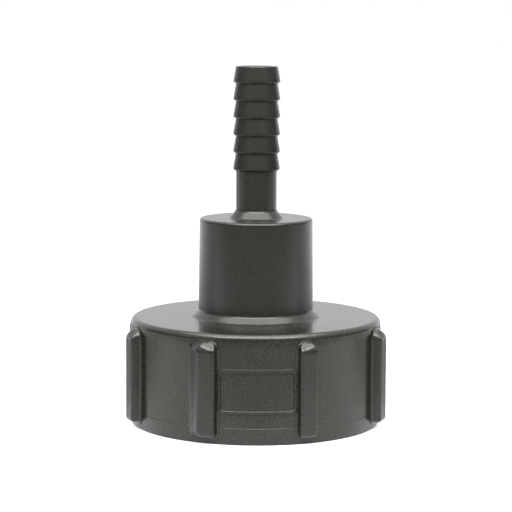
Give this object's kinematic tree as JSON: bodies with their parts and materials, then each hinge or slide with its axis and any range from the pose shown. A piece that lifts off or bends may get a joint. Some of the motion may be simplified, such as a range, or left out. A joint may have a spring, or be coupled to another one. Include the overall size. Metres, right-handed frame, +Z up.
{
  "type": "ibc tap adapter",
  "caption": "Black plastic screw adapter for a bulk tank's outlet: ribbed cap with a coarse female thread, hollow boss and barbed hose tail, with its sealing washer",
  "frame": {"origin": "middle of the cap's mouth, in the plane of its rim", "axes": "+Z up the hose tail along the thread's axis, -Y towards the plate on the cap's wall"},
  "size_m": [0.0736, 0.0736, 0.1021],
  "materials": {
    "black_polypropylene": "spark-eroded texture on the cap, satin on the boss and the hose tail",
    "black_rubber": "matte"
  },
  "bodies": {
    "root": {"adapter_body": "black_polypropylene", "sealing_washer": "black_rubber"}
  },
  "joints": []
}
